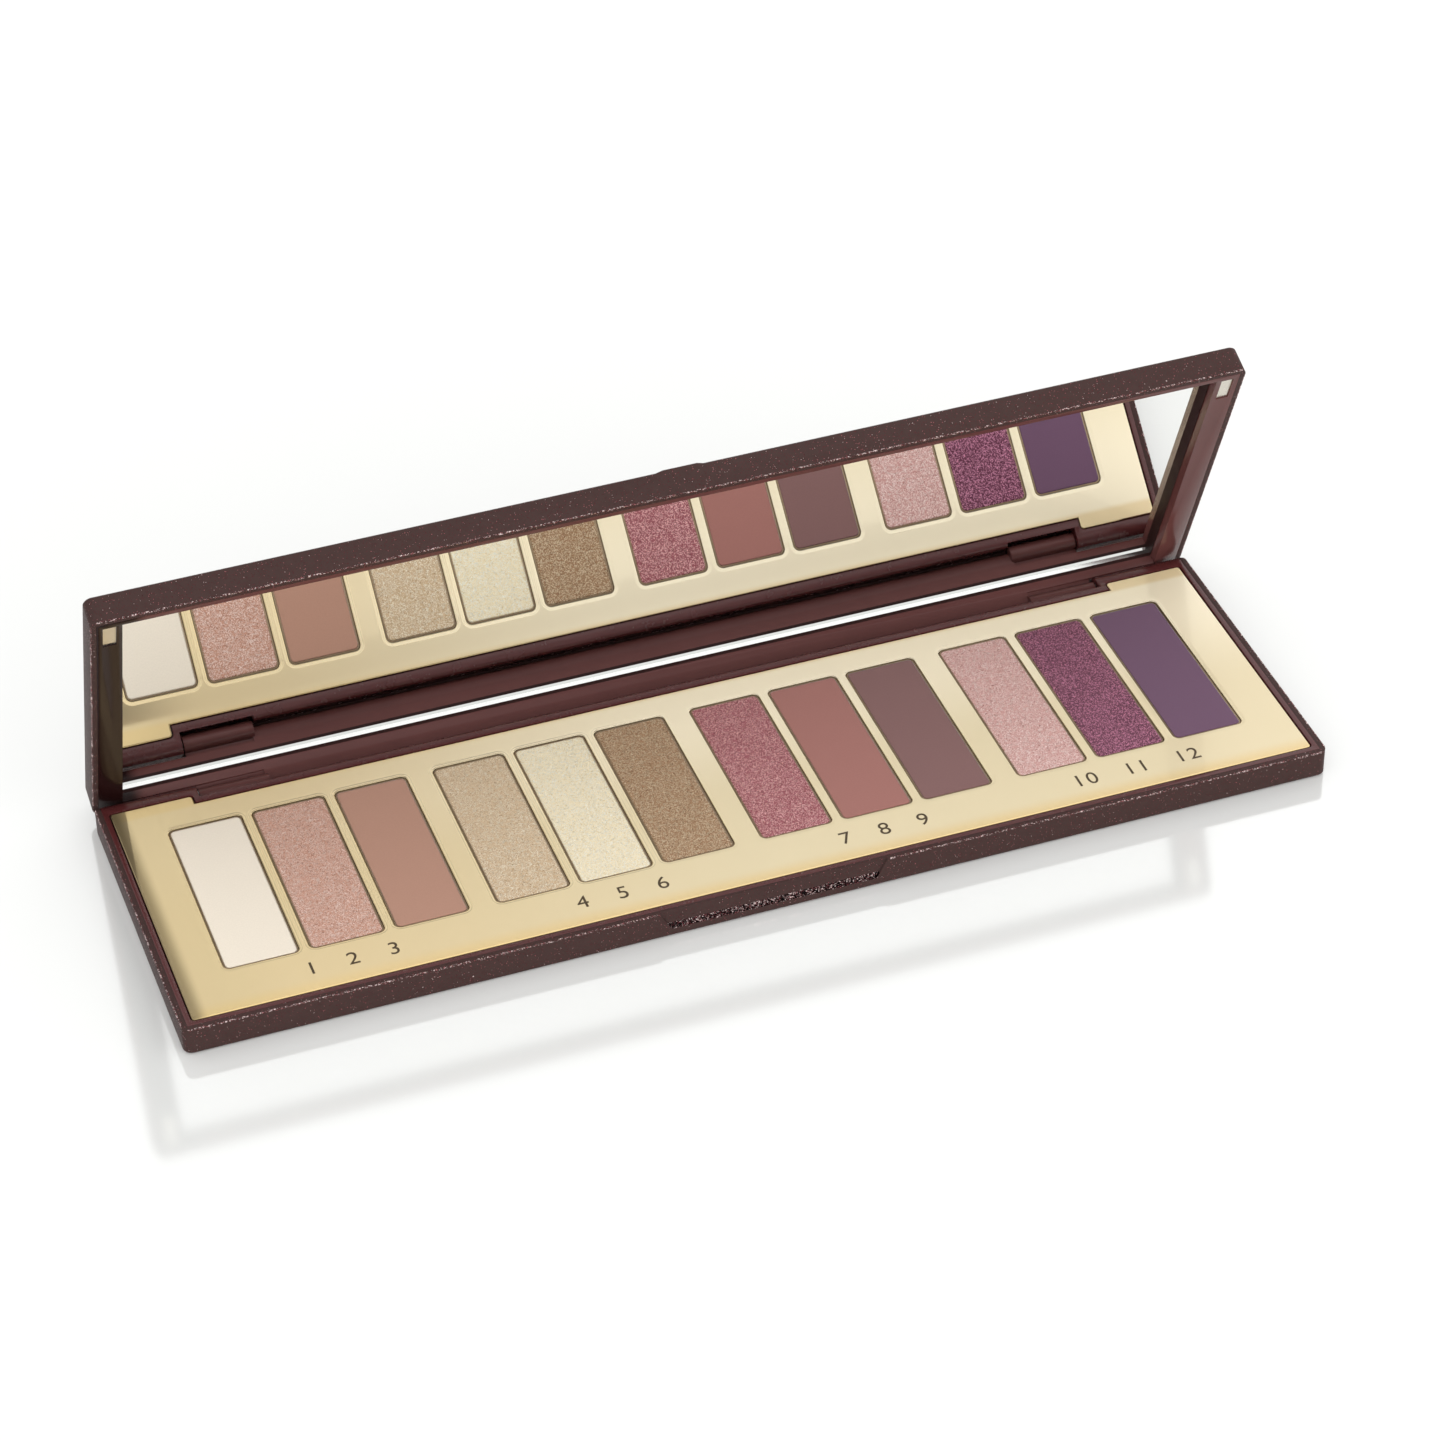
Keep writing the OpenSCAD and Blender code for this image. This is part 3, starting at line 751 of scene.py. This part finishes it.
def dark_steel():
    """Dark drawn steel, a little uneven in gloss."""
    made, tree, out = new_material("dark_steel")
    where = object_place(tree)
    body = finish_node(tree, (0.10, 0.085, 0.08), Metallic=1.0, Roughness=0.45)
    gloss = maths(tree, "MULTIPLY_ADD", noise(tree, where, 1500), 0.2, 0.35)
    tree.links.new(gloss, body.inputs["Roughness"])
    tree.links.new(body.outputs[0], out.inputs["Surface"])
    return made


steel = dark_steel()
for node in ("hinge_pin_left", "hinge_pin_right"):
    dress(node, steel)


# ---- Lid shell ----
# Outer moulding of the lid, in the same glittered and lacquered plastic as the base, with a
# small finger lip at the middle of its front edge. The lid frame is bonded into it.

# the lid is shut when it is turned down by OPEN about the hinge axis
lid_hinge = frame["joints"][0]
OPEN = np.radians(-lid_hinge["range_deg"][0])
_, HINGE_Y, HINGE_Z = lid_hinge["pos_m"]
# height of the lid's mouth when it is shut
FACE_Z = 0.0057


def swung(points):
    """Points of the shut lid turned with it to its resting angle about the hinge axis."""
    points = np.atleast_2d(points)
    y, z = points[:, 1] - HINGE_Y, points[:, 2] - HINGE_Z
    c, s = np.cos(OPEN), np.sin(OPEN)
    return np.column_stack([points[:, 0], HINGE_Y + y * c + z * s, HINGE_Z - y * s + z * c])


def swung_point(y, z):
    """A point of the shut lid's middle, turned with it."""
    return tuple(swung((0, y, z))[0].tolist())


def swung_direction(y, z):
    """A direction of the shut lid, turned with it."""
    return (0.0, float(y * np.cos(OPEN) + z * np.sin(OPEN)), float(z * np.cos(OPEN) - y * np.sin(OPEN)))


lid_lacquer = glitter_lacquer("glitter_lacquer_lid", swung_point(0, FACE_Z), swung_direction(0, 1),
                              swung_point(FRONT, 0), swung_direction(-1, 0))
eased("lid_shell", SHELL_EDGE, lid_lacquer, "lid")


# ---- Lid frame ----
# Inner moulding of the lid: the border round the mirror, the deep back flange and the two hinge lugs in one.
# Plain burgundy plastic with a smoother satin skin than the tray's, and painted shade at its left end.

FRAME_EDGE = 0.0001
# left of here painted shade darkens the plastic
SHADED_LEFT = -0.094

smoother = satin_plastic("satin_burgundy_lid", (0.112, 0.040, 0.037), 0.16, 1.35, shaded_left_end=SHADED_LEFT)
eased("lid_frame", FRAME_EDGE, smoother, "lid")


# ---- Mirror adhesive ----
# Thin sheet of dark adhesive that is laid into the lid frame and holds the glass.
# The mirror covers all of it.

dress("mirror_adhesive", satin_burgundy)


# ---- Mirror ----
# Glass plate bedded in the lid frame, silvered at the back, with a narrow polished bevel along the hinge
# side; its inner walls are dark with painted shade. It is made as it is seen through its clear front.

MIRROR_X = 0.09845
MIRROR_Y = 0.02905
# heights on the shut lid: the front of the glass, the foot of its bevel, its silver and its back
GLASS_FRONT, BEVEL_Z, SILVER_Z, GLASS_BACK = 0.0074, 0.00802, 0.00868, 0.0087
# how far the painted wall and the bevel at the hinge side stand in from the edge
WALL_T = 0.00005
BEVEL_W = 0.00025


def silvered():
    """Clean silvering, a hair uneven as a float glass mirror is."""
    made, tree, out = new_material("mirror_silver")
    where = object_place(tree)
    body = finish_node(tree, (0.97, 0.975, 0.965), Metallic=1.0, Roughness=0.0)
    tone = colour_between(tree, noise(tree, where, 25), (0.965, 0.97, 0.96), (0.975, 0.98, 0.97))
    tree.links.new(tone, body.inputs["Base Color"])
    tree.links.new(maths(tree, "MULTIPLY", noise(tree, where, 40), 0.004), body.inputs["Roughness"])
    tree.links.new(body.outputs[0], out.inputs["Surface"])
    return made


def ground_edge():
    """Pale polished glass edge, a little uneven in gloss."""
    made, tree, out = new_material("ground_glass_edge")
    where = object_place(tree)
    body = finish_node(tree, (0.86, 0.87, 0.85), Metallic=1.0, Roughness=0.12)
    gloss = maths(tree, "MULTIPLY_ADD", noise(tree, where, 150), 0.04, 0.08)
    tree.links.new(gloss, body.inputs["Roughness"])
    tree.links.new(body.outputs[0], out.inputs["Surface"])
    return made


def mirror_ring(side, foot, z):
    """Corners of the glass outline set in by side at the ends and the front, by foot at the hinge."""
    x, front, hinge = MIRROR_X - side, side - MIRROR_Y, MIRROR_Y - foot
    return np.array([(-x, front, z), (x, front, z), (x, hinge, z), (-x, hinge, z)])


def mirror_plate(edge, silver, painted_shade):
    """Tray of five rings of the glass outline. The back ring and the front ring close the outside;
    inside, the wall drops to the ring where the narrow polished bevel starts, which leans in to
    the silver, and the silvered face closes the middle."""
    points = np.concatenate([mirror_ring(0, 0, GLASS_BACK), mirror_ring(0, 0, GLASS_FRONT),
                             mirror_ring(WALL_T, WALL_T, GLASS_FRONT), mirror_ring(WALL_T, WALL_T, BEVEL_Z),
                             mirror_ring(WALL_T, BEVEL_W, SILVER_Z)])
    faces = grid_faces(5, 4, closed=True).tolist() + [[16, 17, 18, 19], [3, 2, 1, 0]]
    piece = new_piece("mirror_plate", swung(points), faces, edge, silver, painted_shade, smooth=False)
    # 0 is the ground edge, 1 the silver, 2 the painted shade on the walls; face 14 is the bevel at the hinge
    finish = np.zeros(len(faces), dtype=np.int32)
    finish[4:16] = 2
    finish[14] = 0
    finish[16:18] = 1
    piece.data.polygons.foreach_set("material_index", finish)
    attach(piece, "lid")
    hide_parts("mirror_glass")


# the inner walls of the glass are dark with painted shade
mirror_plate(ground_edge(), silvered(), satin_plastic("mirror_edge_painted_shade", (0.030, 0.012, 0.011), 0.5, 1.2))


# ---- Table ----
# White gloss acrylic under the palette, wide enough that its edge is never seen. It shows a
# faint image of the case.

TABLE_HALF = 4.0
# a hair under the case, so that the two never lie in one plane
TABLE_Z = -0.00005
TABLE_GLOW = 0.09


def white_acrylic():
    """Glossy white sheet; a trace of glow for the camera alone keeps its far end white."""
    made, tree, out = new_material("white_acrylic")
    body = finish_node(tree, (0.80, 0.808, 0.79), Roughness=0.09, IOR=3.0)
    body.inputs["Emission Color"].default_value = (1, 1, 1, 1)
    seen = tree.nodes.new("ShaderNodeLightPath").outputs["Is Camera Ray"]
    tree.links.new(maths(tree, "MULTIPLY", seen, TABLE_GLOW), body.inputs["Emission Strength"])
    tree.links.new(body.outputs[0], out.inputs["Surface"])
    return made


corners = np.array([(-1, -1, 0), (1, -1, 0), (1, 1, 0), (-1, 1, 0)]) * TABLE_HALF + (0, 0, TABLE_Z)
new_piece("table_top", corners, [[0, 1, 2, 3]], white_acrylic(), smooth=False)


# ---- Light ----
# A white studio: one broad soft overhead light that leans to the right, an even fill that is
# stronger from the open side, and a dark gap between the two that shows in gloss alone.

OPEN_SIDE = (0.31, -0.95, 0.0)
# brightness that gloss sees at the sky's foot, and what the overhead light adds at its top
SKY_LEVEL, OVERHEAD_MORE = 0.92, 0.42
# how the sky brightens to the right: in the middle, added at the far right, and the least of it
LEAN_MIDDLE, LEAN_MORE, LEAN_LEAST = 0.92, 0.4, 0.6
# share of the sky that the gap takes away, and where it starts and ends: with height, and towards
# the open side
GAP_SHARE = 0.7
GAP_FOOT, GAP_HEAD, GAP_SIDE = (0.10, 0.22), (0.68, 0.84), (0.40, 0.65)
# fill at the back and the sides, and what it gains in front
FILL_LEVEL, FILL_MORE = 0.9, 1.2

world = bpy.data.worlds.new("studio")
bpy.context.scene.world = world
world.use_nodes = True
studio = world.node_tree
studio.nodes.clear()
heading = studio.nodes.new("ShaderNodeTexCoord").outputs["Generated"]
side, depth, height = parts_of(studio, heading)

# what gloss sees
overhead = maths(studio, "MULTIPLY", maths(studio, "MAXIMUM", height, 0.0), height)
lean = maths(studio, "MULTIPLY_ADD", side, LEAN_MORE, LEAN_MIDDLE)
lean = maths(studio, "MAXIMUM", lean, LEAN_LEAST)
sky_light = maths(studio, "MULTIPLY", maths(studio, "MULTIPLY_ADD", overhead, OVERHEAD_MORE, SKY_LEVEL), lean)
gap_foot = eased_step(studio, height, *GAP_FOOT, 0.0, 1.0)
gap_head = eased_step(studio, height, *GAP_HEAD, 1.0, 0.0)
gap_side = eased_step(studio, vector_maths(studio, "DOT_PRODUCT", heading, OPEN_SIDE), *GAP_SIDE, 0.0, 1.0)
gap = maths(studio, "MULTIPLY", maths(studio, "MULTIPLY", gap_foot, gap_head), gap_side)
shine = maths(studio, "MULTIPLY", sky_light, maths(studio, "MULTIPLY_ADD", gap, -GAP_SHARE, 1.0))

# what everything else is lit by
towards_front = maths(studio, "MAXIMUM", maths(studio, "MULTIPLY", depth, -1.0), 0.0)
fill = maths(studio, "MULTIPLY_ADD", towards_front, FILL_MORE, FILL_LEVEL)

ray = studio.nodes.new("ShaderNodeLightPath").outputs
blend = studio.nodes.new("ShaderNodeMix")
studio.links.new(ray["Is Glossy Ray"], blend.inputs[0])
studio.links.new(fill, blend.inputs[2])
studio.links.new(shine, blend.inputs[3])
sky = studio.nodes.new("ShaderNodeBackground")
sky.inputs["Color"].default_value = (1, 1, 1, 1)
studio.links.new(maths(studio, "MAXIMUM", blend.outputs[0], ray["Is Camera Ray"]), sky.inputs["Strength"])
studio.links.new(sky.outputs[0], studio.nodes.new("ShaderNodeOutputWorld").inputs["Surface"])


# ---- Camera ----
# It stands in front of the left end and looks down over the palette, from far enough off that
# the case hardly narrows.

CAMERA_AT = (-0.20275, -0.59412, 0.51599)
# turned right of straight ahead, dipped below level and rolled, in degrees
HEADING, DIP, ROLL = np.radians((18.97374, 38.39831, -1.17830))

camera_data = bpy.data.cameras.new("camera")
camera_data.sensor_width = 36
camera_data.lens = 115.23
camera_data.clip_start, camera_data.clip_end = 0.05, 20
camera = bpy.data.objects.new("camera", camera_data)
bpy.context.scene.collection.objects.link(camera)
level = np.array((np.cos(HEADING), -np.sin(HEADING), 0))
ahead = np.array((np.sin(HEADING) * np.cos(DIP), np.cos(HEADING) * np.cos(DIP), -np.sin(DIP)))
above = np.cross(level, ahead)
pose = np.eye(4)
pose[:3, 0] = np.cos(ROLL) * level + np.sin(ROLL) * above
pose[:3, 1] = np.cos(ROLL) * above - np.sin(ROLL) * level
pose[:3, 2] = -ahead
pose[:3, 3] = CAMERA_AT
camera.matrix_world = Matrix(pose.tolist())
bpy.context.scene.camera = camera
bpy.context.scene.view_settings.view_transform = "Standard"
